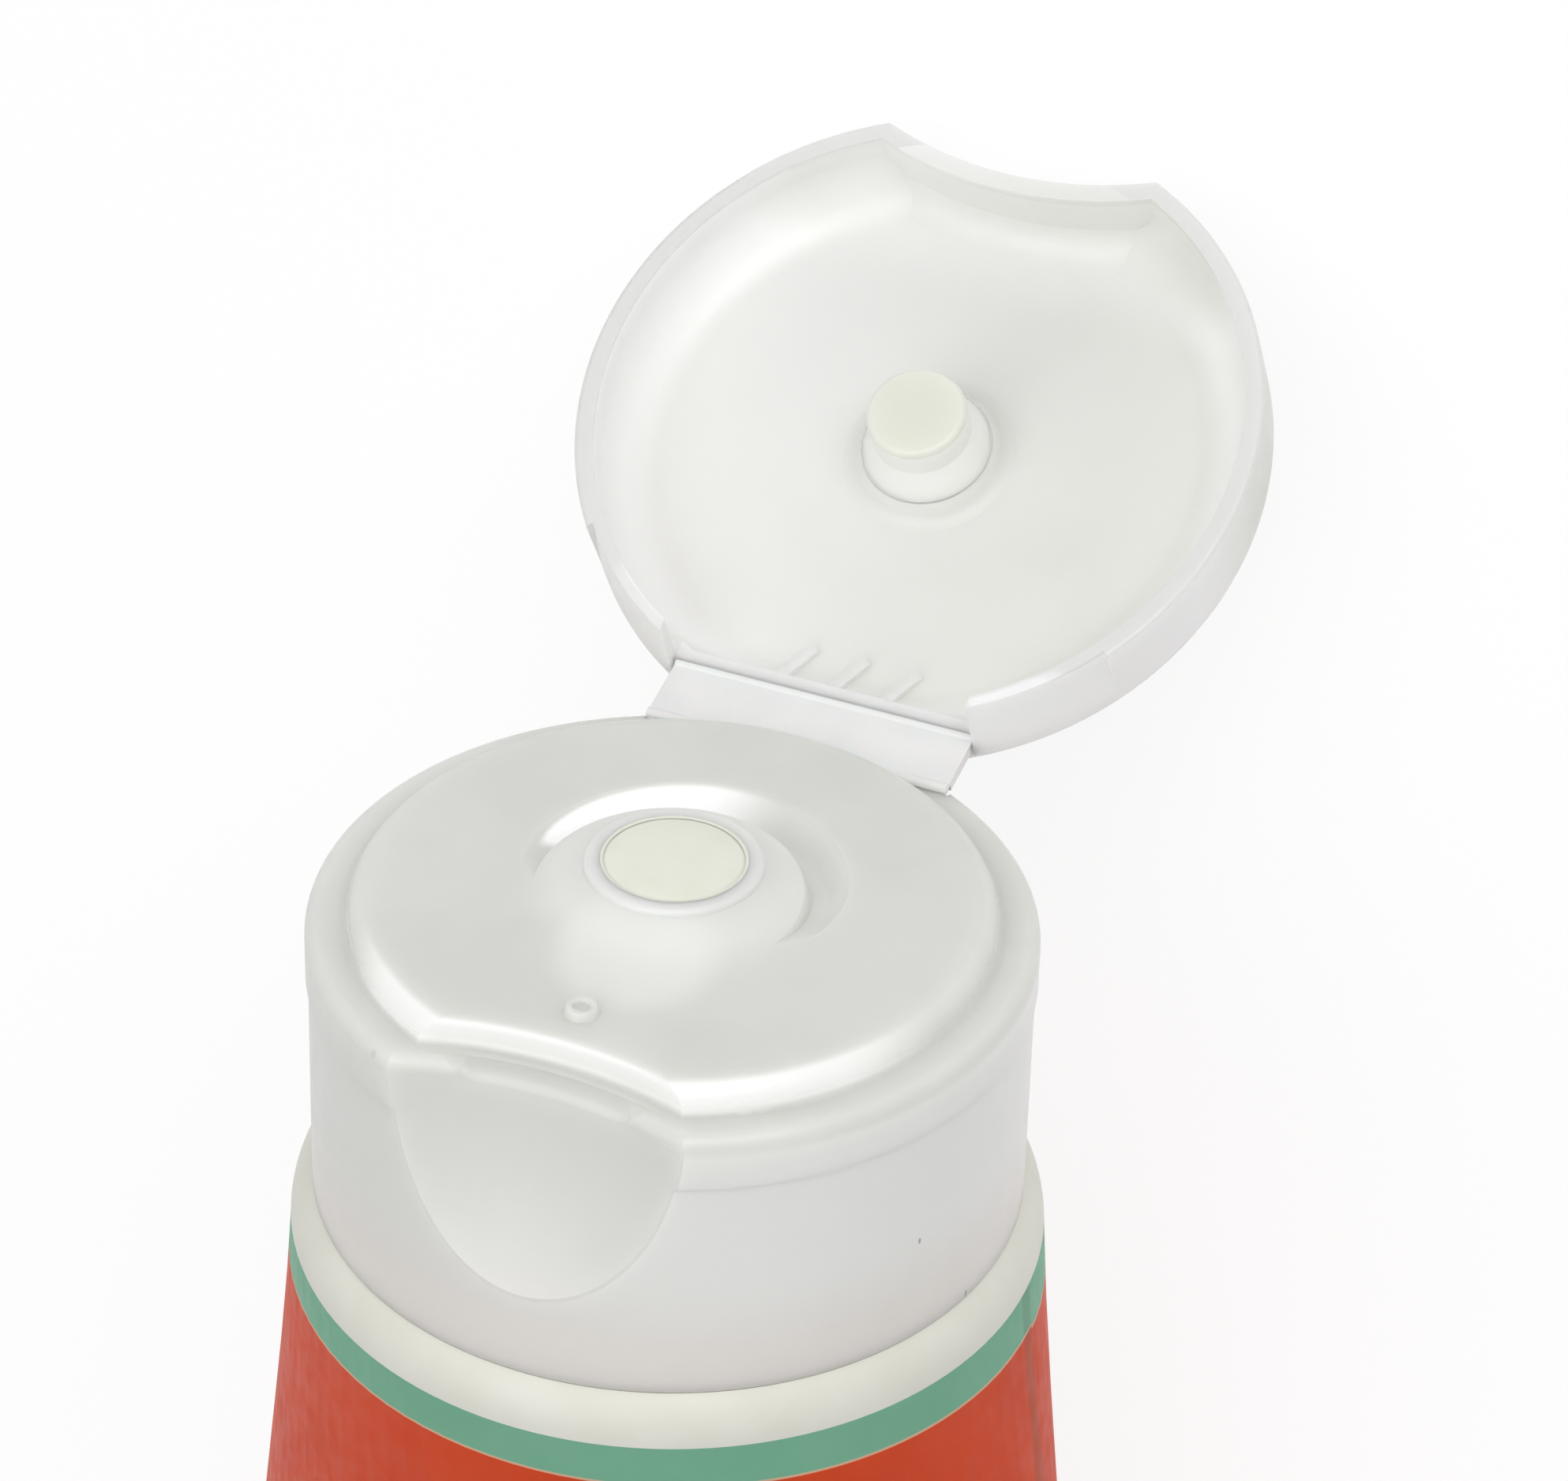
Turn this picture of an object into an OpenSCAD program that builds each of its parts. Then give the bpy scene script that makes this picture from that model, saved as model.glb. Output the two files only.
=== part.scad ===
// Squeeze tube with a flip-top cap, lying on its back with the lid open.
// Every piece is drawn in the tube's own frame: Z runs along the tube towards the cap, with zero
// at the ledge where the lid seats, +Y is the hinge side and -Y the thumb side.
// lay_down() then turns the whole tube onto the crimp and the open lid.

/* [Sleeve] */
// Outer radius of the sleeve's round end
tube_r = 17.5; // [15:0.5:21]
// Length of the sleeve from the shoulder to the end of the crimp
sleeve_len = 100; // [80:1:130]
// Thickness of the laminate
sleeve_wall = 0.5; // [0.3:0.05:0.7]
// Length of the flat welded crimp
crimp_len = 8; // [5:0.5:12]
// How full the body is, where 1 is a straight taper from the round end to the crimp
belly = 1.2; // [1:0.05:1.5]

/* [Head] */
// Radius of the rounded shoulder edge
shoulder_round = 3; // [2.5:0.1:3.4]
// Depth of the sleeve's upper edge below the cap's lower edge
shoulder_h = 2.4; // [2:0.1:2.4]
// Wall of the shoulder
head_wall = 1.2; // [0.8:0.1:1.5]
// Length of the head's collar inside the sleeve
head_seat = 3.5; // [2:0.5:6]
// Outer radius of the neck
neck_r = 6.5; // [6:0.1:7]
// Wall of the neck
neck_wall = 1.6; // [1.2:0.1:2]
// Radius of the snap bead round the neck
bead_r = 0.5; // [0.3:0.05:0.6]
// Depth of the snap bead below the ledge
bead_depth = 7; // [5:0.5:8]

/* [Cap base] */
// How far the cap stands inside the sleeve's outline
cap_inset = 0.9; // [0.5:0.1:1.2]
// Height of the cap base from its lower edge to the ledge
cap_h = 14.1; // [13:0.1:17]
// Wall of the skirt
cap_wall = 1.2; // [0.9:0.1:1.5]
// Height of the slightly wider band under the ledge
band_h = 2.7; // [2:0.1:3.5]
// How far that band stands out from the skirt
band_step = 0.12; // [0.05:0.01:0.25]
// Width of the ledge that the lid's rim seats on
ledge_w = 1.9; // [1.6:0.1:2.3]
// Rounding of the ledge's outer edge
ledge_round = 0.7; // [0.4:0.1:0.9]
// Height of the deck above the ledge
deck_rise = 1.35; // [1.1:0.05:1.6]
// Rounding of the deck's edge
deck_round = 1.25; // [0.8:0.05:1.3]
// Rounding of the deck's edge over the scoop
front_round = 0.4; // [0.2:0.05:0.5]
// Hollow rounding where the deck rises from the ledge
deck_cove = 0.4; // [0.2:0.05:0.45]
// Thickness of the deck at its lowest point
deck_wall = 1.1; // [0.8:0.1:1.4]
// Wall of the collar that grips the neck
collar_wall = 1.2; // [0.9:0.1:1.5]
// Length of the collar below the deck
collar_len = 9.5; // [8.5:0.5:10.5]

/* [Spout] */
// Outer radius of the spout's lip
spout_r = 4.1; // [3.9:0.1:4.5]
// Height of the lip above the deck
spout_rise = 1.8; // [1.5:0.05:1.9]
// Radius of the spout's flared mouth
mouth_r = 3.35; // [3.2:0.05:3.5]
// Radius of the bore under the mouth
bore_r = 2.75; // [2.4:0.05:2.9]
// Depth of the flare
mouth_depth = 1.3; // [1:0.1:1.6]
// Radius at which the spout's broad foot runs out into the deck
foot_r = 9; // [8.8:0.1:9.6]
// Height of that foot at the lip
foot_rise = 1.45; // [1.1:0.05:1.45]
// Outer radius of the crescent groove behind the spout
groove_r = 9.2; // [8.8:0.1:9.4]
// Radius at which the groove's soft outer wall reaches its floor
groove_low = 7; // [6.6:0.1:7.4]
// Inner radius of the groove's floor
groove_in = 6.3; // [6:0.1:6.5]
// Depth of the groove at the back
groove_depth = 1.3; // [1:0.05:1.4]
// Tilt of the groove, which runs it out towards the front
groove_tilt = 8.5; // [7.5:0.1:9.5]
// Radius of the small round stud on the deck
stud_r = 0.85; // [0.6:0.05:1]
// Height of the stud
stud_h = 0.35; // [0.2:0.05:0.5]
// Distance of the stud from the spout's axis
stud_at = 10; // [9.9:0.05:10.3]

/* [Thumb scoop] */
// How far the centre of the scoop lies outside the cap
scoop_out = 15.4; // [15:0.1:16]
// Radius of the scoop's ball-shaped hollow
scoop_r = 18.35; // [17.5:0.05:18.8]
// Width of the ledge in front of the deck
front_ledge = 1.4; // [1.3:0.1:1.7]

/* [Lid] */
// Height of the lid
lid_h = 5.1; // [4.9:0.1:6]
// Wall of the lid
lid_wall = 0.9; // [0.7:0.05:1]
// Thickness of the lid's top
lid_top = 0.9; // [0.7:0.05:1]
// Rounding of the lid's top edge
lid_round = 1.1; // [0.6:0.1:1.2]
// Rounding of the lid's rim
rim_round = 0.25; // [0.15:0.05:0.35]
// Rounding inside, where the wall meets the top
bowl_round = 2.6; // [1.8:0.1:2.8]
// Gap between the closed lid's rim and the ledge
parting = 0.15; // [0.1:0.05:0.3]
// Gap between the sealing pin and the spout's bore
pin_gap = 0.32; // [0.3:0.02:0.4]
// Height of the pin's end above the ledge with the lid closed
pin_end = 0.1; // [0:0.1:0.8]
// How much wider the pin's root is than the pin
pin_step = 0.75; // [0.5:0.05:0.8]
// Height of the pin's root above the spout's lip
pin_rest = 0.3; // [0.2:0.05:0.4]
// Rounding at the foot of the pin's root
pin_fillet = 1.2; // [0.8:0.1:1.2]
// Number of ribs beside the hinge
rib_count = 3; // [1:1:5]
// Spacing of the ribs
rib_pitch = 2.65; // [1.5:0.05:2.8]
// Length of a rib
rib_len = 2.7; // [2:0.1:3]
// Sideways shift of the ribs
rib_shift = 0.3; // [0:0.05:0.6]
// Width of a rib
rib_w = 0.5; // [0.3:0.05:0.8]
// Height of a rib
rib_h = 0.4; // [0.2:0.05:0.6]
// Slant of the ribs
rib_slant = 30; // [0:1:35]
// Width of the sill that the strap's upper hinge line turns against
sill_run = 0.6; // [0.5:0.05:0.8]

/* [Hinge] */
// Width of the strap
strap_w = 15.2; // [12:0.2:15.6]
// Thickness of the strap
strap_t = 0.6; // [0.5:0.05:0.7]
// Radius of the bead along each hinge line
film_r = 0.25; // [0.2:0.01:0.28]
// Length of the thin web beside each bead
film_len = 0.4; // [0.35:0.05:0.5]
// Height of the lower hinge line above the ledge
hinge_low = 0.2; // [0.1:0.05:0.3]
// Length of the strap between its two hinge lines
strap_len = 3.35; // [3.2:0.05:3.5]
// Gap at each side of the strap
strap_gap = 0.12; // [0.1:0.02:0.3]
// Running clearance round each bead
film_gap = 0.03; // [0.02:0.01:0.05]
// Angle that the strap has swung back from closed
strap_open = 76.8; // [60:0.2:85]
// Angle that the lid has swung back from closed
lid_open = 149.7; // [125:0.1:165]
// Depth of the relief in the lid's wall beside the strap
relief_d = 0.35; // [0.2:0.05:0.45]
// Angle from the back at which the relief ends
relief_end = 53; // [45:1:60]

/* [Fits] */
// Clearance between the neck and its collar
neck_gap = 0.08; // [0.05:0.01:0.12]
// Gap between the cap's lower edge and the shoulder
seat_gap = 0.1; // [0.05:0.05:0.2]
// Gap between the neck's end and the deck
neck_end_gap = 0.3; // [0.2:0.05:0.5]
// Clearance between the head's collar and the sleeve
weld_gap = 0.05; // [0.03:0.01:0.1]
// Gap between the cream and the walls round it
cream_gap = 0.2; // [0.15:0.05:0.3]

/* [Hidden] */
$fn = 96;
eps = 0.01;
over = 1;

// Levels and radii of the head and the cap
cap_r = tube_r - cap_inset;
skirt_r = cap_r - band_step;
deck_r = cap_r - ledge_w;
seat_z = -cap_h - seat_gap;
sleeve_z = -cap_h - shoulder_h;
collar_r = tube_r - sleeve_wall - weld_gap;
plate_z = deck_rise - groove_depth - deck_wall;
neck_top = plate_z - neck_end_gap;
neck_bore = neck_r - neck_wall;
cone_rise = 1.2;
lip_z = deck_rise + spout_rise;
lip_round = 0.25;

// Levels and radii of the lid, closed
rim_z = parting;
lid_top_z = parting + lid_h;
floor_z = lid_top_z - lid_top;
lid_in = cap_r - lid_wall;
pin_r = bore_r - pin_gap;
root_r = pin_r + pin_step;
root_z = lip_z + pin_rest;
front_fillet = 2;

// The scoop is a ball centred in front of the cap, level with the ledge
scoop_at = cap_r + scoop_out;
function corner_y(r, z) = (pow(scoop_at, 2) + pow(r, 2) - pow(scoop_r, 2) + pow(z, 2)) / (2 * scoop_at);

// Hinge lines: the strap's outer corners lie on the cap's outline
strap_in = 0.1;
strap_out = strap_t - strap_in;
seat_face = 0.15;
strap_half = strap_w / 2;
notch_half = strap_half + strap_gap;
hinge_y = sqrt(pow(cap_r, 2) - pow(strap_half, 2)) - strap_out;
hinge_high = hinge_low + strap_len;
low_line = [0, hinge_y, hinge_low];
high_line = [0, hinge_y, hinge_high];
pocket_z = hinge_low - strap_out - 0.3;
notch_z = hinge_high + strap_out + 0.15;
// The lid's heel above the strap is cut flat, so that it passes the base with the lid wide open
heel_gap = 0.1;
heel_y = 2 * hinge_y + strap_len - cap_r - heel_gap;

// Sections of the sleeve
around = 96;
cream_around = 48;
rings = 20;
body_len = sleeve_len - crimp_len;
flat_power = 8;
flat_soft = 0.05;
slit = 0.06;
flat_norm = ln(2) / ln(PI / 2);
crimp_z = sleeve_z - body_len;
end_z = sleeve_z - sleeve_len;
seat_r = depth_at(head_seat) - weld_gap;

// Where the open tube touches the floor: the crimp's lower edge and the lid's two front corners
function turn(p, at, angle) =
    let (y = p[1] - at[1], z = p[2] - at[2])
    [p[0], at[1] + y * cos(angle) + z * sin(angle), at[2] - y * sin(angle) + z * cos(angle)];
function opened(p) = turn(turn(p, high_line, lid_open - strap_open), low_line, strap_open);
crimp_edge = [0, sleeve_wall, end_z];
function horn(r, z) = opened([0, -corner_y(r, z), z]);
top_horn = [for (t = [0 : 2 : 90])
    horn(cap_r - lid_round + lid_round * sin(t), lid_top_z - lid_round + lid_round * cos(t))];
rim_horn = [for (t = [0 : 5 : 90])
    horn(cap_r - rim_round + rim_round * sin(t), rim_z + rim_round - rim_round * cos(t))];
tilt = max([for (p = top_horn) atan2(p[1] - crimp_edge[1], p[2] - crimp_edge[2])]);
lift = crimp_edge[1] * cos(tilt) - crimp_edge[2] * sin(tilt);
cap_reach = max([for (p = rim_horn) p[1] * sin(tilt) + p[2] * cos(tilt)]);
crimp_reach = -sleeve_wall * sin(tilt) + end_z * cos(tilt);
slide = (cap_reach + crimp_reach) / 2;

module lay_down() {
    translate([0, slide, lift]) rotate([tilt - 90, 0, 180]) children();
}

module swing(line, angle) {
    translate(line) rotate([-angle, 0, 0]) translate(-line) children();
}

// A disc seen in half section, from z0 up to z1, with its upper edge rounded
module rounded_disc(r, z0, z1, edge) {
    difference() {
        translate([0, z0]) square([r, z1 - z0]);
        translate([r - edge, z1 - edge]) difference() {
            square([edge + over, edge + over]);
            circle(edge);
        }
    }
}

// The quarter of a concave fillet that fills the corner to the right of r and below z
module corner_fill(r, z, edge) {
    difference() {
        translate([r - eps, z - edge]) square([edge + eps, edge + eps]);
        translate([r + edge, z - edge]) circle(edge);
    }
}

// Sleeve: a round end lofted to a flat crimp at constant girth
function depth_at(s) = (tube_r - sleeve_wall) * (1 - pow(s / body_len, belly));
function width_at(b) = pow(pow(PI * tube_r / 2, flat_norm) - pow(b, flat_norm), 1 / flat_norm);
function flatten(u, w) = (1 - w) * u + w * u * (1 + flat_soft) / (abs(u) + flat_soft);
function section(a, b, w, z, n) =
    [for (i = [0 : n - 1]) let (t = 360 * i / n) [a * cos(t), b * flatten(sin(t), w), z]];
function outer_ring(s) =
    let (b = depth_at(s) + sleeve_wall)
    section(width_at(b), b, pow(s / body_len, flat_power), sleeve_z - s, around);
function inner_ring(s) =
    let (b = depth_at(s), a = width_at(b + sleeve_wall) - sleeve_wall)
    section(a, max(b, slit), pow(s / body_len, flat_power), sleeve_z - s, around);
function joined(lists) = [for (l = lists) for (p = l) p];
function band(from, to, n) =
    [for (i = [0 : n - 1]) let (j = (i + 1) % n) each
        [[from + i, from + j, to + j], [from + i, to + j, to + i]]];
function bands(first, count, n, step) =
    [for (k = [0 : count - 2]) each band(first + k * n * (step > 0 ? 1 : 0) + (step > 0 ? 0 : (k + 1) * n),
        first + (step > 0 ? (k + 1) * n : k * n), n)];
function loop(first, n) = [for (i = [0 : n - 1]) first + i];
function back_loop(first, n) = [for (i = [0 : n - 1]) first + n - 1 - i];

module tube_sleeve() {
    steps = [for (k = [0 : rings]) body_len * k / rings];
    outer = [for (s = steps) outer_ring(s)];
    crimp_end = section(width_at(sleeve_wall), sleeve_wall, 1, end_z, around);
    inner = [for (s = steps) inner_ring(s)];
    points = joined(concat(outer, [crimp_end], inner));
    outer_count = rings + 2;
    inner_first = outer_count * around;
    faces = concat(
        bands(0, outer_count, around, 1),
        bands(inner_first, rings + 1, around, -1),
        band(inner_first, 0, around),
        [loop((outer_count - 1) * around, around)],
        [back_loop(inner_first + rings * around, around)]);
    color([0.80, 0.36, 0.16]) polyhedron(points, faces, convexity = 6);
}

// Head: the rounded shoulder, its collar inside the sleeve and the neck with its snap bead
module tube_head() {
    color([0.88, 0.87, 0.83]) rotate_extrude() difference() {
        union() {
            intersection() {
                rounded_disc(tube_r, sleeve_z, sleeve_z + shoulder_round, shoulder_round);
                translate([0, sleeve_z]) square([tube_r, seat_z - sleeve_z]);
            }
            polygon([[0, sleeve_z - head_seat], [seat_r, sleeve_z - head_seat],
                [collar_r, sleeve_z + eps], [0, sleeve_z + eps]]);
            polygon([[0, seat_z - eps], [skirt_r - cap_wall, seat_z - eps], [skirt_r - cap_wall, seat_z],
                [neck_r, seat_z + cone_rise], [0, seat_z + cone_rise]]);
            square_between(0, neck_r, seat_z, neck_top);
            translate([neck_r, -bead_depth]) circle(bead_r);
        }
        head_inside();
    }
}

module square_between(r0, r1, z0, z1) {
    translate([r0, z0]) square([r1 - r0, z1 - z0]);
}

module head_inside() {
    polygon([[0, sleeve_z - head_seat - over], [seat_r - head_wall, sleeve_z - head_seat - over],
        [seat_r - head_wall, sleeve_z - head_seat], [collar_r - head_wall, sleeve_z], [skirt_r - cap_wall - head_wall, seat_z - head_wall],
        [neck_bore, seat_z + cone_rise - head_wall], [neck_bore, neck_top + over], [0, neck_top + over]]);
}

// Cream: one mass from the sleeve through the neck to the spout's brim
function cream_body(s) =
    let (b = depth_at(s), a = width_at(b + sleeve_wall) - sleeve_wall)
    section(a - cream_gap, b - cream_gap, pow(s / body_len, flat_power), sleeve_z - s, cream_around);
function disc_ring(r, z) = section(r, r, 0, z, cream_around);

module cream() {
    fill_end = 0.94;
    fill_rings = 14;
    head_low = sleeve_z - head_seat - cream_gap;
    under_cone = seat_z + cone_rise - head_wall;
    spout_cream_r = bore_r - cream_gap;
    brim_r = mouth_r - 0.12;
    dome = 0.3;
    body = [for (k = [fill_rings : -1 : 0])
        cream_body(head_seat + cream_gap + (body_len * fill_end - head_seat) * k / fill_rings)];
    head = [
        disc_ring(seat_r - head_wall - cream_gap, head_low + cream_gap / 2),
        disc_ring(collar_r - head_wall - cream_gap, sleeve_z - cream_gap),
        disc_ring(skirt_r - cap_wall - head_wall - cream_gap, seat_z - head_wall - cream_gap),
        disc_ring(neck_bore - cream_gap, under_cone - cream_gap * 2),
        disc_ring(neck_bore - cream_gap, neck_top),
        disc_ring(spout_cream_r, plate_z - cream_gap / 2),
        disc_ring(spout_cream_r, lip_z - mouth_depth),
        disc_ring(brim_r, lip_z - 0.1)];
    dome_rings = [for (k = [1 : 4]) disc_ring(brim_r * cos(k * 20), lip_z - 0.1 + dome * sin(k * 20))];
    all_rings = concat(body, head, dome_rings);
    count = len(all_rings);
    faces = concat(
        bands(0, count, cream_around, -1),
        [loop(0, cream_around)],
        [back_loop((count - 1) * cream_around, cream_around)]);
    color([0.96, 0.94, 0.88]) polyhedron(joined(all_rings), faces, convexity = 4);
}

// The ball that hollows the front of the cap, grown by extra for the wall behind it
module scoop_ball(extra) {
    translate([0, -scoop_at, 0]) sphere(scoop_r + extra, $fn = 180);
}

module around_scoop() {
    translate([0, -scoop_at, 0]) rotate_extrude($fn = 180) children();
}

// What rounds an upper edge when it is cut away with the scoop
module corner_flare(r, z, edge) {
    difference() {
        translate([r - over, z - edge]) square([over + edge, edge + over]);
        translate([r + edge, z - edge]) circle(edge);
        translate([r + edge, z - edge]) square([over, edge + over]);
    }
}

// The hollow quarter round at the foot of a wall that rises to the left of r
module cove(r, z, edge) {
    difference() {
        translate([r - edge, z - eps]) square([2 * edge, edge + eps]);
        translate([r + edge, z + edge]) circle(edge);
    }
}

module deck_body() {
    front_r = scoop_r + front_ledge;
    difference() {
        rotate_extrude() {
            rounded_disc(deck_r, plate_z, deck_rise, deck_round);
            cove(deck_r, 0, deck_cove);
        }
        around_scoop() {
            difference() {
                square_between(0, front_r, eps, deck_rise + over);
                mirror([1, 0]) cove(-front_r, 0, deck_cove);
            }
            corner_flare(front_r, deck_rise, front_round);
        }
    }
}

module spout_body() {
    foot_run = foot_r - spout_r;
    foot_arc = (pow(foot_run, 2) + pow(foot_rise, 2)) / (2 * foot_rise);
    rotate_extrude() {
        rounded_disc(spout_r, plate_z, lip_z, lip_round);
        difference() {
            square_between(0, foot_r - eps, plate_z, deck_rise + foot_rise);
            translate([foot_r, deck_rise + foot_arc]) circle(foot_arc, $fn = 240);
        }
    }
}

module crescent_groove() {
    steps = 12;
    flank_run = groove_in - spout_r - 0.5;
    wall = [for (k = [0 : steps]) let (t = k / steps)
        [groove_r - t * (groove_r - groove_low), -groove_depth * t * t * (3 - 2 * t)]];
    translate([0, groove_r, deck_rise]) rotate([-groove_tilt, 0, 0]) translate([0, -groove_r, 0])
        rotate_extrude() polygon(concat(wall, [[groove_in, -groove_depth],
            [groove_in - flank_run, spout_rise], [groove_in - flank_run, spout_rise + over],
            [groove_r, spout_rise + over]]));
}

module stud() {
    translate([0, -stud_at, deck_rise - eps]) difference() {
        cylinder(r1 = stud_r, r2 = stud_r - stud_h / 2, h = stud_h + eps, $fn = 48);
        translate([0, 0, stud_h / 2]) cylinder(r = stud_r / 2, h = stud_h, $fn = 48);
    }
}

module cap_inside() {
    difference() {
        rotate_extrude() square_between(0, skirt_r - cap_wall, -cap_h - over, plate_z);
        scoop_ball(cap_wall);
        rotate_extrude() square_between(0, neck_r + neck_gap + collar_wall, plate_z - collar_len, plate_z + eps);
    }
}

module neck_socket() {
    rotate_extrude() {
        square_between(0, neck_r + neck_gap, plate_z - collar_len - over, plate_z);
        translate([neck_r, -bead_depth]) circle(bead_r + neck_gap);
    }
}

module spout_bore() {
    translate([0, 0, plate_z - eps]) cylinder(r = bore_r, h = lip_z - plate_z + over);
    translate([0, 0, lip_z - mouth_depth]) cylinder(r1 = bore_r, r2 = mouth_r, h = mouth_depth);
    translate([0, 0, lip_z - eps]) cylinder(r = mouth_r, h = over);
}

module strap_pocket() {
    translate([-notch_half, hinge_y - seat_face, pocket_z]) cube([2 * notch_half, tube_r, deck_rise + tube_r]);
    translate([-notch_half, hinge_y, hinge_low]) rotate([0, 90, 0])
        cylinder(r = film_r + film_gap, h = 2 * notch_half, $fn = 32);
}

module cap_base() {
    color([0.90, 0.90, 0.88]) difference() {
        union() {
            difference() {
                rotate_extrude() {
                    rounded_disc(cap_r, -band_h, 0, ledge_round);
                    square_between(0, skirt_r, -cap_h, -band_h + eps);
                }
                scoop_ball(0);
                around_scoop() corner_flare(scoop_r, 0, ledge_round);
            }
            deck_body();
            spout_body();
            stud();
        }
        crescent_groove();
        cap_inside();
        neck_socket();
        spout_bore();
        strap_pocket();
    }
}

// Strap: a flat plate between two thin webs, each ending in a bead on its hinge line
module hinge_strap() {
    color([0.92, 0.92, 0.90]) swing(low_line, strap_open)
        translate([-strap_half, hinge_y, 0]) rotate([90, 0, 90]) linear_extrude(strap_w) {
            translate([-strap_in, hinge_low]) square([strap_in + film_r / 2, strap_len]);
            translate([-strap_in, hinge_low + film_len]) square([strap_t, strap_len - 2 * film_len]);
            translate([0, hinge_low]) circle(film_r, $fn = 32);
            translate([0, hinge_high]) circle(film_r, $fn = 32);
        }
}

module lid_shell() {
    difference() {
        rotate_extrude() difference() {
            rounded_disc(cap_r, rim_z, lid_top_z, lid_round);
            translate([cap_r - rim_round, rim_z + rim_round]) difference() {
                translate([0, -rim_round - over]) square([rim_round + over, rim_round + over]);
                circle(rim_round);
            }
        }
        difference() {
            rotate_extrude() rounded_disc(lid_in, rim_z - over, floor_z, bowl_round);
            scoop_ball(lid_wall);
            around_scoop() corner_fill(sqrt(pow(scoop_r + lid_wall, 2) - pow(floor_z, 2)), floor_z, front_fillet);
        }
        scoop_ball(0);
    }
}

module hinge_notch() {
    below_sill = hinge_high - film_r;
    sill_w = 1;
    translate([-notch_half, hinge_y - seat_face - sill_w, rim_z - over])
        cube([2 * notch_half, tube_r, below_sill - rim_z + over]);
    translate([-notch_half, hinge_y - seat_face, rim_z - over])
        cube([2 * notch_half, tube_r, notch_z - rim_z + over]);
    translate([-notch_half, heel_y, rim_z]) cube([2 * notch_half, tube_r, lid_h + over]);
    translate([-notch_half, hinge_y, hinge_high]) rotate([0, 90, 0])
        cylinder(r = film_r + film_gap, h = 2 * notch_half, $fn = 32);
}

module hinge_sill() {
    translate([-strap_half, hinge_y - seat_face - sill_run, hinge_high - film_r])
        cube([strap_w, sill_run, floor_z - hinge_high + film_r + eps]);
}

module wall_relief() {
    start = asin(notch_half / cap_r) - 1;
    for (side = [0, 1]) mirror([side, 0, 0])
        rotate([0, 0, 90 - relief_end]) rotate_extrude(angle = relief_end - start)
            polygon([[cap_r - relief_d, rim_z - over], [cap_r + over, rim_z - over],
                [cap_r + over, notch_z - over / 2], [cap_r, notch_z - over / 2], [cap_r - relief_d, rim_z]]);
}

module sealing_pin() {
    end_round = 0.3;
    rotate_extrude() {
        difference() {
            square_between(0, pin_r, pin_end, floor_z + eps);
            translate([pin_r - end_round, pin_end + end_round]) difference() {
                translate([0, -end_round - over]) square([end_round + over, end_round + over]);
                circle(end_round);
            }
        }
        polygon([[0, lip_z - mouth_depth], [pin_r, lip_z - mouth_depth], [root_r, root_z],
            [root_r, floor_z + eps], [0, floor_z + eps]]);
        corner_fill(root_r, floor_z + eps, pin_fillet);
    }
}

module ribs() {
    for (k = [0 : rib_count - 1])
        translate([(k - (rib_count - 1) / 2) * rib_pitch - rib_shift, hinge_y - seat_face - sill_run / 2,
            floor_z - rib_h])
            rotate([0, 0, rib_slant]) translate([-rib_w / 2, -rib_len, 0])
                cube([rib_w, rib_len, rib_h + lid_top / 2]);
}

module cap_lid() {
    color([0.93, 0.93, 0.91]) swing(low_line, strap_open) swing(high_line, lid_open - strap_open)
        difference() {
            union() {
                lid_shell();
                hinge_sill();
                sealing_pin();
                ribs();
            }
            hinge_notch();
            wall_relief();
        }
}

lay_down() tube_sleeve();
lay_down() tube_head();
lay_down() cream();
lay_down() cap_base();
lay_down() hinge_strap();
lay_down() cap_lid();
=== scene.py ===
import math

import bmesh
import bpy
from mathutils import Matrix, Vector


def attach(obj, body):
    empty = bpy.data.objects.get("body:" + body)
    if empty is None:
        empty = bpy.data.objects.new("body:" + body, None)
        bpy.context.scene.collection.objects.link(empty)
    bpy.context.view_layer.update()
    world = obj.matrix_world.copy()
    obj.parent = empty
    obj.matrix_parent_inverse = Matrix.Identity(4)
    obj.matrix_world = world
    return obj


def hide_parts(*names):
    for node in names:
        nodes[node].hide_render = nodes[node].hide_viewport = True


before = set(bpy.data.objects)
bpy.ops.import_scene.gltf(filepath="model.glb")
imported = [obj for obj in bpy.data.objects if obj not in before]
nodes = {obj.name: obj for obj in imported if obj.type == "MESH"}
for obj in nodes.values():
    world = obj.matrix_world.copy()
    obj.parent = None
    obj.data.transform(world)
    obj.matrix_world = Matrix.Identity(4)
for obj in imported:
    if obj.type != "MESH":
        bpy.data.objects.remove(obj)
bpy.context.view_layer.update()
print("frame loaded:", len(nodes), "nodes")

mm = 0.001
white = (1, 1, 1, 1)
black = (0, 0, 0, 1)

# Lengths are in mm in the tube's own frame:
# x to the right of the thumb side, y towards the hinge, z towards the cap
place = dict(tilt=18.2642, lift=36.9858, slide=-40.1164)
tiltBack = math.radians(place["tilt"] - 90)


# A free vector is a direction, not a place
def toWorld(x, y, z, free=False):
    c, s = math.cos(tiltBack), math.sin(tiltBack)
    across, along, up = -x, -(y * c - z * s), y * s + z * c
    if free:
        return Vector((across, along, up))
    return Vector((across, along + place["slide"], up + place["lift"])) * mm


tubeAxes = [toWorld(*v, True) for v in ((1, 0, 0), (0, 1, 0), (0, 0, 1))]

hinge = dict(y=14.258, low=0.2, high=3.55, strap=76.8, lid=149.7)


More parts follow.
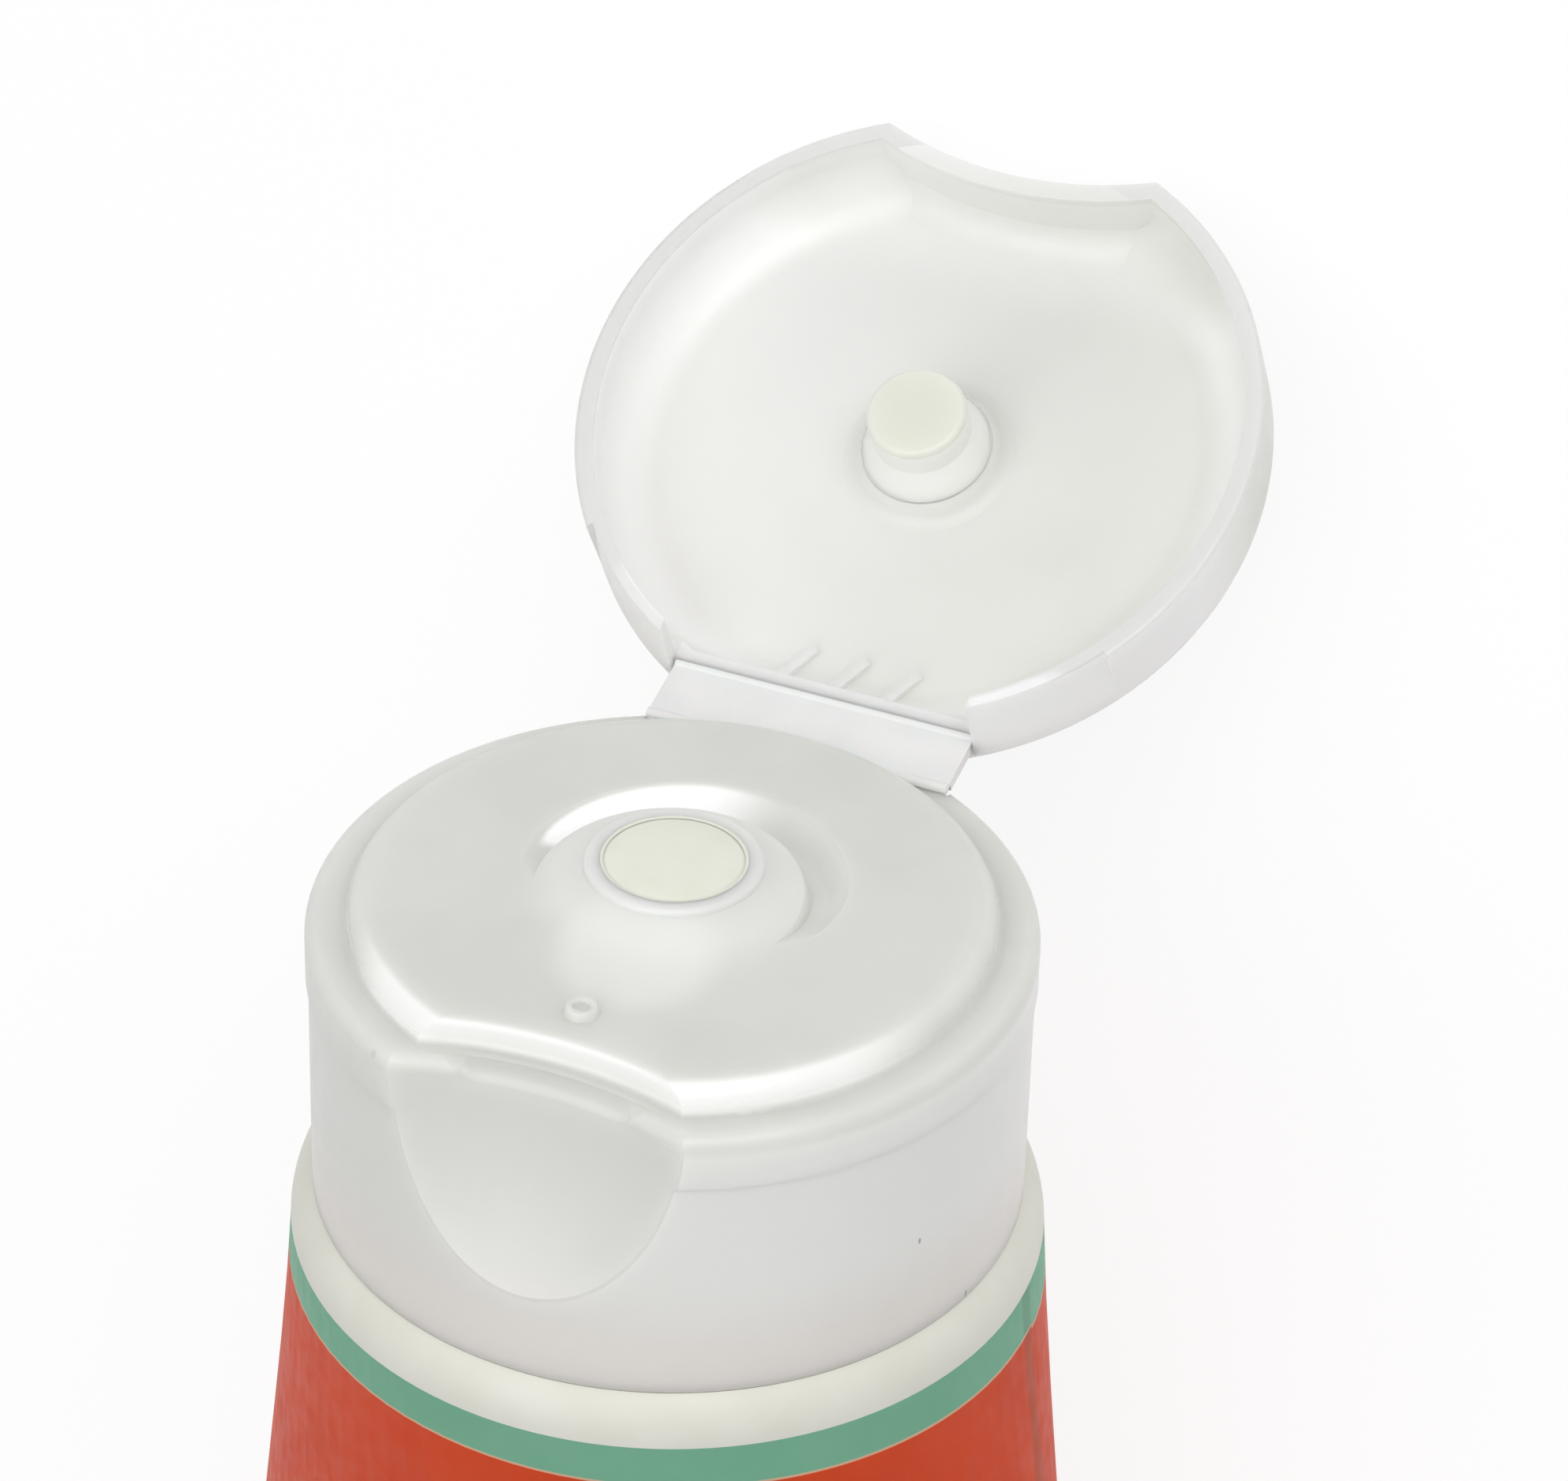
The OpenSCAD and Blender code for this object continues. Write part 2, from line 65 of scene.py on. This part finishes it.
# Where a point of the open lid lies once the lid is shut
def shutPlace(y, z):
    def turned(p, at, degrees):
        a = math.radians(degrees)
        dy, dz = p[0] - at[0], p[1] - at[1]
        return (at[0] + dy * math.cos(a) + dz * math.sin(a),
                at[1] - dy * math.sin(a) + dz * math.cos(a))
    p = turned((y, z), (hinge["y"], hinge["low"]), -hinge["strap"])
    return turned(p, (hinge["y"], hinge["high"]), hinge["strap"] - hinge["lid"])


# Focal length in pixels of the photo, angles in degrees, near and far in m
view = dict(focal=8029.0, photoWidth=1986, sensor=36, near=0.01, far=20,
            distance=285.86, height=35.80, roll=1.03, pan=1.00, dip=1.58, turn=-23.2)


def makeCamera():
    height, roll, pan, dip, turn = (math.radians(view[k])
                                    for k in ("height", "roll", "pan", "dip", "turn"))
    side = Vector((math.cos(turn), math.sin(turn), 0))
    back = Vector((-math.sin(turn), math.cos(turn), 0))
    spot = Vector((0, -math.cos(height), math.sin(height))) * view["distance"]
    ahead = -spot.normalized()
    right = Vector((1, 0, 0))
    up = right.cross(ahead)
    rolledRight = right * math.cos(roll) + up * math.sin(roll)
    rolledUp = up * math.cos(roll) - right * math.sin(roll)
    panned = rolledRight * math.cos(pan) - ahead * math.sin(pan)
    ahead = rolledRight * math.sin(pan) + ahead * math.cos(pan)
    dipped = rolledUp * math.cos(dip) - ahead * math.sin(dip)
    ahead = rolledUp * math.sin(dip) + ahead * math.cos(dip)

    def turned(v):
        return toWorld(v.dot(side), v.dot(back), v.z, True)

    data = bpy.data.cameras.new("camera")
    data.sensor_width = view["sensor"]
    data.lens = view["focal"] * view["sensor"] / view["photoWidth"]
    data.clip_start, data.clip_end = view["near"], view["far"]
    cam = bpy.data.objects.new("camera", data)
    bpy.context.scene.collection.objects.link(cam)
    cols = [turned(panned), turned(dipped), -turned(ahead)]
    rows = [tuple(col[k] for col in cols) + (0,) for k in range(3)]
    cam.matrix_world = Matrix(rows + [(0, 0, 0, 1)])
    cam.location = toWorld(spot.dot(side), spot.dot(back), spot.z)
    bpy.context.scene.camera = cam


class Sock:
    def __init__(self, tree, out):
        self.tree, self.out = tree, out

    def node(self, kind, inputs=(), outName=0, **props):
        n = self.tree.nodes.new(kind)
        for k, v in props.items():
            setattr(n, k, v)
        for k, v in (inputs.items() if isinstance(inputs, dict) else enumerate(inputs)):
            if isinstance(v, Sock):
                self.tree.links.new(v.out, n.inputs[k])
            else:
                n.inputs[k].default_value = v
        return Sock(self.tree, n.outputs[outName])

    def math(self, op, *args):
        return self.node("ShaderNodeMath", (self,) + args, operation=op)

    def __add__(self, o): return self.math("ADD", o)
    def __sub__(self, o): return self.math("SUBTRACT", o)
    def __mul__(self, o): return self.math("MULTIPLY", o)
    def __gt__(self, o): return self.math("GREATER_THAN", o)
    def __lt__(self, o): return self.math("LESS_THAN", o)

    def dot(self, v):
        return self.node("ShaderNodeVectorMath", (self, tuple(v)), "Value",
                         operation="DOT_PRODUCT")

    def ramp(self, low, high, a=0.0, b=1.0):
        return self.node("ShaderNodeMapRange", (self, low, high, a, b),
                         interpolation_type="SMOOTHSTEP")

    def noise(self, scale, detail=2.0):
        inputs = {"Vector": self, "Scale": scale, "Detail": detail}
        return self.node("ShaderNodeTexNoise", inputs, "Fac")

    def mix(self, factor, other):  # sockets 6 and 7 are the node's colours
        return self.node("ShaderNodeMix", {0: factor, 6: self, 7: other}, 2, data_type="RGBA")


# Screen colour from 0 to 255 as the linear colour that a socket takes
def rgb(r, g, b):
    def lin(v):
        v /= 255
        return v / 12.92 if v <= 0.04045 else ((v + 0.055) / 1.055) ** 2.4
    return (lin(r), lin(g), lin(b), 1.0)


noiseSpan = (0.3, 0.7)  # where most of a noise texture's values lie
spotSpan = (0.3, 1.0, 1.0, 0.0)  # a spot's full core and soft edge


class Finish:
    def __init__(self, name, piece, shut=False):
        self.mat = bpy.data.materials.new(name)
        self.mat.use_nodes = True
        self.tree = self.mat.node_tree
        self.bsdf = self.tree.nodes["Principled BSDF"]
        for k, v in piece["fixed"].items():
            self.bsdf.inputs[k].default_value = v
        coord = self.tree.nodes.new("ShaderNodeTexCoord")
        self.spot = Sock(self.tree, coord.outputs["Object"])
        start = toWorld(0, 0, 0) / mm
        self.x, self.y, self.z = (self.spot.dot(a * (1 / mm)) - start.dot(a) for a in tubeAxes)
        if shut:
            self.shutLid()
        self.r = (self.x * self.x + self.y * self.y).math("SQRT")
        if "cloud" in piece:
            self.cloud = self.spot.noise(piece["cloud"])
        if "sheen" in piece:
            scale, low, high = piece["sheen"]
            self.feed("Roughness", self.spot.noise(scale, 3.0).ramp(*noiseSpan, low, high))
        if "grain" in piece:
            scale, detail, strength, depth = piece["grain"]
            self.feed("Normal", self.spot.node("ShaderNodeBump", {
                "Strength": strength, "Distance": depth * mm,
                "Height": self.spot.noise(scale, detail)}, "Normal"))

    # Coordinates of the open lid as if it were shut
    def shutLid(self):
        y, z = self.y, self.z
        y0, z0 = shutPlace(0, 0)
        yy, yz = shutPlace(1, 0)
        zy, zz = shutPlace(0, 1)
        self.y = y * (yy - y0) + z * (zy - y0) + y0
        self.z = y * (yz - z0) + z * (zz - z0) + z0

    def feed(self, name, sock):
        self.tree.links.new(sock.out, self.bsdf.inputs[name])

    def flat(self, colour):
        n = self.tree.nodes.new("ShaderNodeRGB")
        n.outputs[0].default_value = colour
        return Sock(self.tree, n.outputs[0])

    # Each span names a coordinate, then its ramp or a hard step
    def cover(self, strength, *spans):
        mask = None
        for axis, *span in spans:
            at = getattr(self, axis)
            if span[0] == "over":
                part = at > span[1]
            elif span[0] == "under":
                part = at < span[1]
            else:
                part = at.ramp(*span)
            mask = part if mask is None else mask * part
        return mask if strength == 1 else mask * strength

    def tint(self, colour, tints):
        for shade, strength, *spans in tints:
            colour = colour.mix(self.cover(strength, *spans), shade)
        return colour

    # Soft round spot on the surface
    def spotMask(self, x, y, z, across, tall):
        dx, dy, dz = self.x - x, self.y - y, self.z - z
        flat = dx * dx + dy * dy
        return (flat * (1 / across ** 2) + dz * dz * (1 / tall ** 2)).ramp(*spotSpan)


# sheen: scale, lowest and highest roughness; grain: scale, detail, strength, depth
# tints: colour, strength, spans
frosted = {"Roughness": 0.36, "IOR": 1.49, "Subsurface Weight": 0.8,
           "Subsurface Scale": 2.2 * mm, "Subsurface Radius": (1.0, 0.98, 0.92)}
fineGrain = (5200, 2.0, 0.12, 0.02)

# The ball that cuts the thumb scoop, and the part of its brim that is set back
scoop = dict(at=32.0, radius=18.35, round=0.7, low=-1.3, high=0.03, flatFrom=-0.02,
             front=-8, reach=15.2, slack=0.004)

cap = dict(
    fixed={**frosted, "Emission Strength": 1.0},
    cloud=160, sheen=(900, 0.32, 0.42), grain=fineGrain,
    deck=rgb(212, 213, 208),
    deckTints=[(rgb(216, 217, 212), 1, ("cloud", 0.35, 0.65))],
    # Painted light: the wall is painted lighter than the deck, and lighter still towards +x, as
    # if lit from that side
    wall=rgb(221, 221, 217),
    wallPaintedLight=[
        (rgb(239, 239, 235), 1, ("x", -12.0, 15.0)),
        (rgb(220, 220, 216), 1, ("ball", 18.5, 18.42)),  # thumb scoop, painted in the tone its light gives it: painted light
    ],
    wallTop=("z", -1.2, -0.3, 1.0, 0.0),
    lowTints=[(rgb(229, 220, 214), 1, ("z", -14.2, -7.5, 0.8, 0.0))],  # lit by the sleeve
    # Painted highlight: the deck's front step and rounded edges are painted brighter, most at the
    # front, and glow a little
    edge=[("z", 0.0, 0.3), ("z", 1.15, 1.34, 1.0, 0.0), ("r", 11.0, 12.0),
          ("y", -3.0, -9.0, 0.15, 1.0), ("x", -12.0, -8.5, 0.15, 1.0)],
    edgePaintedHighlight=rgb(242, 242, 239), edgePaintedGlow=0.02,
    # Painted highlight: the groove's wall behind the spout is painted near white, most towards
    # -x, and glows
    groove=[("z", 1.15, 1.345, 1.0, 0.0), ("r", 9.4, 10.0, 1.0, 0.0), ("x", -2.5, 2.5, 1.0, 0.1)],
    groovePaintedHighlight=rgb(250, 250, 249), groovePaintedGlow=0.10,
    # Painted highlight: a soft bright spot on the mound in front of the spout
    hill=dict(x=0.6, y=-5.6, z=1.8, across=4.4, tall=3.0),
    hillPaintedHighlight=rgb(240, 241, 238), hillHighlightStrength=0.45,
    # Painted light: the colour of the glow given to the groove and the edges
    paintedGlowColour=(1, 1, 0.98, 1),
    # painted light: the spout and the top of the mound lighter with height
    spoutPaintedLight=[(rgb(236, 237, 233), 0.5, ("z", 1.42, 2.2))],
    speckRadius=16.55, speckColour=rgb(120, 120, 112),
    specks=[  # degrees round the wall, height, half width, half height, strength
        (65.9, -8.8, 0.13, 0.26, 0.75), (78.2, -13.9, 0.14, 0.3, 0.6),
        (18.9, -3.8, 0.22, 0.24, 0.18), (-28.7, -0.4, 0.25, 0.25, 0.15),
    ],
)


def capFinish():
    f = Finish("frostedCap", cap)
    back = f.y + scoop["at"]
    f.ball = (f.x * f.x + back * back + f.z * f.z).math("SQRT")
    colour = f.tint(f.flat(cap["deck"]), cap["deckTints"])
    # painted light on the wall, blended into the deck's tone near the top
    wall = f.tint(f.flat(cap["wall"]), cap["wallPaintedLight"])
    colour = colour.mix(f.cover(1, cap["wallTop"]), wall)
    colour = f.tint(colour, cap["lowTints"])
    # painted highlights: edge is the deck's front step, groove is the groove's wall behind the
    # spout
    edge, groove = f.cover(1, *cap["edge"]), f.cover(1, *cap["groove"])
    colour = colour.mix(edge, cap["edgePaintedHighlight"]).mix(groove, cap["groovePaintedHighlight"])
    # painted highlight on the mound in front of the spout
    colour = colour.mix(f.spotMask(**cap["hill"]) * cap["hillHighlightStrength"], cap["hillPaintedHighlight"])
    # painted light on the spout
    colour = f.tint(colour, cap["spoutPaintedLight"])
    for turn, z, across, tall, strength in cap["specks"]:
        a = math.radians(turn)
        x, y = cap["speckRadius"] * math.sin(a), -cap["speckRadius"] * math.cos(a)
        colour = colour.mix(f.spotMask(x, y, z, across, tall) * strength, cap["speckColour"])
    f.feed("Base Color", colour)
    # painted light: the groove and the edges glow though they are no lamp
    glow = groove * cap["groovePaintedGlow"] + edge * cap["edgePaintedGlow"]
    f.feed("Emission Color", f.flat(black).mix(glow, cap["paintedGlowColour"]))
    return f.mat


lid = dict(
    fixed=frosted, cloud=140, sheen=(900, 0.32, 0.42), grain=fineGrain,
    base=rgb(227, 227, 225),
    # Apart from the cloud and the pin's cream film, these tints are painted light and shade on
    # the one frosted plastic
    tints=[
        # painted shade: the lid darker towards +x
        (rgb(215, 216, 211), 1, ("x", -9.0, 10.0)),
        (rgb(231, 232, 228), 0.2, ("cloud", 0.35, 0.65)),
        (rgb(240, 241, 237), 0.4, ("y", -8.0, -12.5), ("z", 0.5, 0.8)),  # front of the bowl, painted lighter: painted light
        (rgb(250, 250, 248), 0.75, ("r", 13.0, 15.0), ("r", 15.75, 15.85, 1.0, 0.0),
         ("y", -12.0, -9.0)),  # inner wall, painted near white: painted light
        # painted highlight on the rounded outer edge, towards +x
        (rgb(255, 255, 255), 1, ("r", 15.7, 15.9), ("y", -2.0, 8.0), ("x", 0.0, 5.0)),
        (rgb(214, 215, 213), 1, ("z", 0.5, 0.2), ("r", "over", 15.0),
         ("y", 11.0, 12.5, 1.0, 0.0)),  # rim, painted darker: painted shade
        (rgb(236, 236, 234), 1, ("y", 12.6, 13.4), ("r", 15.9, 15.7)),  # flat beside the strap, painted lighter: painted light
        (rgb(240, 241, 237), 1, ("r", 3.0, 3.6, 1.0, 0.0)),  # sealing pin, painted lighter over the shade at its root: painted light
        (rgb(221, 223, 212), 1, ("z", "under", 0.45), ("r", "under", 2.5)),  # the pin's end
    ],
)

strap = dict(
    fixed={"Roughness": 0.4, "IOR": 1.49, "Subsurface Weight": 0.2, "Subsurface Scale": 0.6 * mm},
    cloud=300, sheen=(900, 0.36, 0.46), grain=fineGrain,
    base=rgb(233, 233, 232), tints=[(rgb(229, 229, 228), 1, ("cloud", 0.35, 0.65))],
)

head = dict(
    fixed={"Roughness": 0.45, "IOR": 1.5},
    cloud=300, sheen=(700, 0.42, 0.5),
    base=rgb(220, 220, 210), tints=[(rgb(216, 216, 205), 1, ("cloud", *noiseSpan))],
)

cream = dict(
    fixed={"Roughness": 0.3, "IOR": 1.45, "Subsurface Weight": 0.2,
           "Subsurface Scale": 0.3 * mm, "Subsurface Radius": (1.0, 0.9, 0.7)},
    cloud=500, grain=(900, 3.0, 0.3, 0.05),
    base=rgb(228, 229, 217), tints=[(rgb(224, 226, 212), 1, ("cloud", *noiseSpan))],
)


def plainFinish(name, piece, shut=False):
    f = Finish(name, piece, shut)
    f.feed("Base Color", f.tint(f.flat(piece["base"]), piece["tints"]))
    return f.mat


# The green band meets the orange at edge, and steps down by step behind the seam
sleeve = dict(
    fixed={"Roughness": 0.55, "IOR": 1.45, "Specular IOR Level": 0.2},
    sheen=(800, 0.45, 0.55),
    orange=(rgb(203, 65, 26), rgb(208, 69, 29), 220),
    green=(rgb(117, 173, 145), rgb(113, 170, 141), 260),
    edge=-18.8, step=0.25,
    seam=dict(start=91.5, end=95.0, strength=0.25, colour=rgb(70, 90, 70)),
    line=dict(below=0.09, above=0.05, strength=0.8, colour=rgb(214, 180, 150)),
)


def sleeveFinish():
    f = Finish("printedSleeve", sleeve)
    orange, green = (f.flat(first).mix(f.spot.noise(scale).ramp(*noiseSpan), second)
                     for first, second, scale in (sleeve["orange"], sleeve["green"]))
    seam, line, edge = sleeve["seam"], sleeve["line"], sleeve["edge"]
    turn = f.x.math("ARCTAN2", f.y * -1.0) * (180 / math.pi)
    level = f.z + (turn > seam["end"]) * sleeve["step"]
    onSeam = (turn > seam["start"]) * (turn < seam["end"])
    onLine = (level > edge - line["below"]) * (level < edge + line["above"])
    colour = orange.mix(level > edge, green)
    colour = colour.mix(onSeam * seam["strength"], seam["colour"])
    colour = colour.mix(onLine * line["strength"], line["colour"])
    f.feed("Base Color", colour)
    return f.mat


# Place of the true brim at a height, as its distance from the ball's axis, and its normal
def scoopReach(z):
    brim = scoop["radius"] + scoop["round"]
    if z > scoop["flatFrom"]:
        return brim, Vector((0, 0, 1))
    if z > -scoop["round"]:
        drop = z + scoop["round"]
        out = math.sqrt(scoop["round"] ** 2 - drop ** 2)
        return brim - out, Vector((-out, 0, drop)).normalized()
    reach = math.sqrt(scoop["radius"] ** 2 - z ** 2)
    return reach, Vector((-reach, 0, -z)).normalized()


# The cap's moulding with the deck's edge cut clean at the thumb scoop
def trimScoop():
    piece = bpy.data.objects.new("cap_moulding", nodes["cap_base"].data.copy())
    bpy.context.scene.collection.objects.link(piece)
    mesh = piece.data
    origin = toWorld(0, 0, 0)
    facing = {}
    for v in mesh.vertices:
        x, y, z = ((v.co - origin).dot(a) / mm for a in tubeAxes)
        if (not scoop["low"] < z < scoop["high"] or y > scoop["front"]
                or math.hypot(x, y) > scoop["reach"]):
            continue
        away = math.hypot(x, y + scoop["at"])
        reach, normal = scoopReach(z)
        if away < reach - scoop["slack"]:
            ux, uy = x / away, (y + scoop["at"]) / away
            v.co = toWorld(ux * reach, uy * reach - scoop["at"], z)
            facing[v.index] = toWorld(ux * normal.x, uy * normal.x, normal.z, True)
    loose = [Vector(n.vector) for n in mesh.corner_normals]
    for corner in mesh.loops:
        if corner.vertex_index in facing:
            loose[corner.index] = facing[corner.vertex_index]
    mesh.normals_split_custom_set([tuple(n) for n in loose])
    print("scoop brim points set back:", len(facing))
    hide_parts("cap_base")
    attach(piece, "tube")
    return piece


# Radius and height of the cream's rim, which climbs the spout's wall
creamRim = dict(profile=[(3.195, 3.105), (3.24, 3.098), (3.30, 3.112), (3.345, 3.14)], count=96)


def creamEdge(mat):
    count = creamRim["count"]
    turns = [2 * math.pi * k / count for k in range(count)]
    mesh = bmesh.new()
    rings = [[mesh.verts.new(toWorld(r * math.cos(a), r * math.sin(a), z)) for a in turns]
             for r, z in creamRim["profile"]]
    for inner, outer in zip(rings, rings[1:]):
        for k in range(count):
            n = (k + 1) % count
            mesh.faces.new((inner[k], outer[k], outer[n], inner[n])).smooth = True
    data = bpy.data.meshes.new("cream_edge")
    mesh.to_mesh(data)
    mesh.free()
    piece = bpy.data.objects.new("cream_edge", data)
    bpy.context.scene.collection.objects.link(piece)
    data.materials.append(mat)
    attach(piece, "tube")


def dress(piece, mat):
    piece.data.materials.clear()
    piece.data.materials.append(mat)


# What the camera, mirrors and clear things see of the floor and the world is white
def shownRay(tree):
    path = tree.nodes.new("ShaderNodeLightPath")
    seen = Sock(tree, path.outputs["Is Camera Ray"])
    for kind in ("Is Glossy Ray", "Is Transmission Ray"):
        seen = seen.math("MAXIMUM", Sock(tree, path.outputs[kind]))
    return seen


def mixShaders(tree, factor, plain, shown, out):
    mixer = tree.nodes.new("ShaderNodeMixShader")
    tree.links.new(factor.out, mixer.inputs[0])
    tree.links.new(plain, mixer.inputs[1])
    tree.links.new(shown, mixer.inputs[2])
    tree.links.new(mixer.outputs[0], out)


# Size in m; shadow is how much of the floor's own shading shows
ground = dict(size=6, roughness=0.9, specular=0.1, shadow=0.13)


def makeFloor():
    bpy.ops.mesh.primitive_plane_add(size=ground["size"], location=(0, 0, 0))
    floor = bpy.context.active_object
    floor.name = "floor"
    mat = bpy.data.materials.new("floor")
    mat.use_nodes = True
    tree = mat.node_tree
    plain = tree.nodes["Principled BSDF"]
    plain.inputs["Base Color"].default_value = white
    plain.inputs["Roughness"].default_value = ground["roughness"]
    plain.inputs["Specular IOR Level"].default_value = ground["specular"]
    glow = tree.nodes.new("ShaderNodeEmission")
    mixShaders(tree, shownRay(tree) * (1 - ground["shadow"]), plain.outputs[0], glow.outputs[0],
               tree.nodes["Material Output"].inputs["Surface"])
    floor.data.materials.append(mat)


studio = dict(light=0.38, shown=1.0)


def makeWorld():
    world = bpy.data.worlds.new("studio")
    bpy.context.scene.world = world
    world.use_nodes = True
    tree = world.node_tree
    plain = tree.nodes["Background"]
    shown = tree.nodes.new("ShaderNodeBackground")
    for background, strength in ((plain, studio["light"]), (shown, studio["shown"])):
        background.inputs["Color"].default_value = white
        background.inputs["Strength"].default_value = strength
    mixShaders(tree, shownRay(tree), plain.outputs[0], shown.outputs[0],
               tree.nodes["World Output"].inputs["Surface"])
    bpy.context.scene.view_settings.view_transform = "Standard"


# Direction from the cap, then distance and size in m
lamps = dict(
    key=dict(aim=(-0.35, -0.60, 0.72), far=0.9, size=0.7, level=0.42),
    top=dict(aim=(0.20, -0.10, 0.95), far=1.0, size=0.9, level=0.42),
)


def makeLamp(name, lamp):
    aim = Vector(lamp["aim"]).normalized()
    data = bpy.data.lights.new(name, "AREA")
    data.shape = "DISK"
    data.size = lamp["size"]
    data.energy = lamp["level"] * (math.pi * lamp["far"]) ** 2
    o = bpy.data.objects.new(name, data)
    bpy.context.scene.collection.objects.link(o)
    o.location = toWorld(0, 0, 0) + aim * lamp["far"]
    o.rotation_euler = (-aim).to_track_quat("-Z", "Y").to_euler()


makeCamera()
print("camera set")

capMat = capFinish()
dress(trimScoop(), capMat)
dress(nodes["cap_base"], capMat)
dress(nodes["cap_lid"], plainFinish("frostedLid", lid, True))
dress(nodes["hinge_strap"], plainFinish("frostedStrap", strap))
print("cap dressed")

creamMat = plainFinish("cream", cream)
dress(nodes["tube_head"], plainFinish("offWhiteHead", head))
dress(nodes["cream"], creamMat)
creamEdge(creamMat)
dress(nodes["tube_sleeve"], sleeveFinish())
print("tube dressed")

makeFloor()
makeWorld()
for name, lamp in lamps.items():
    makeLamp(name, lamp)
print("scene built")
